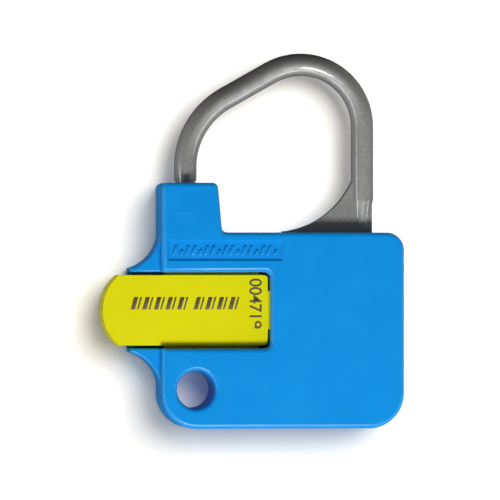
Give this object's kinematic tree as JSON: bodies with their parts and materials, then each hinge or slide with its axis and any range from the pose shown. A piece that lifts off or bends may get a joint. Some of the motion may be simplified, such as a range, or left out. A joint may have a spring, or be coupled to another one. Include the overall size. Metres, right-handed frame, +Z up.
{
  "type": "padlock",
  "caption": "Flat plastic padlock with a lift-up steel shackle and a pull-out numbered seal insert.",
  "frame": {"origin": "bottom centre of the whole closed object, in the plane of its back face, on which it lies", "axes": "+Z up out of the front face, +Y the way the shackle slides out, +X to the right seen from the front"},
  "size_m": [0.0603, 0.075, 0.012],
  "materials": {
    "housing_plastic": "moulded sky-blue plastic with a soft satin gloss",
    "insert_plastic": "moulded bright yellow plastic, smooth, with dark printed marks",
    "shackle_steel": "drawn steel bar with a fine dull grain",
    "spring_steel": "thin blued spring strip"
  },
  "bodies": {
    "housing": {"front_cover": "housing_plastic", "back_cover": "housing_plastic", "stop_pin": "shackle_steel", "catch_leaf": "spring_steel", "catch_rivet": "spring_steel", "insert_retainer": "spring_steel"},
    "shackle": {"shackle": "shackle_steel"},
    "insert": {"seal_insert": "insert_plastic"}
  },
  "joints": [
    {"name": "shackle_lift", "type": "slide", "parent": "housing", "child": "shackle", "axis": [0, 1, 0], "range_m": [0, 0.018], "deforming": ["catch_leaf"]},
    {"name": "insert_slide", "type": "slide", "parent": "housing", "child": "insert", "axis": [-1, 0, 0], "range_m": [0, 0.04], "deforming": ["insert_retainer"]}
  ]
}
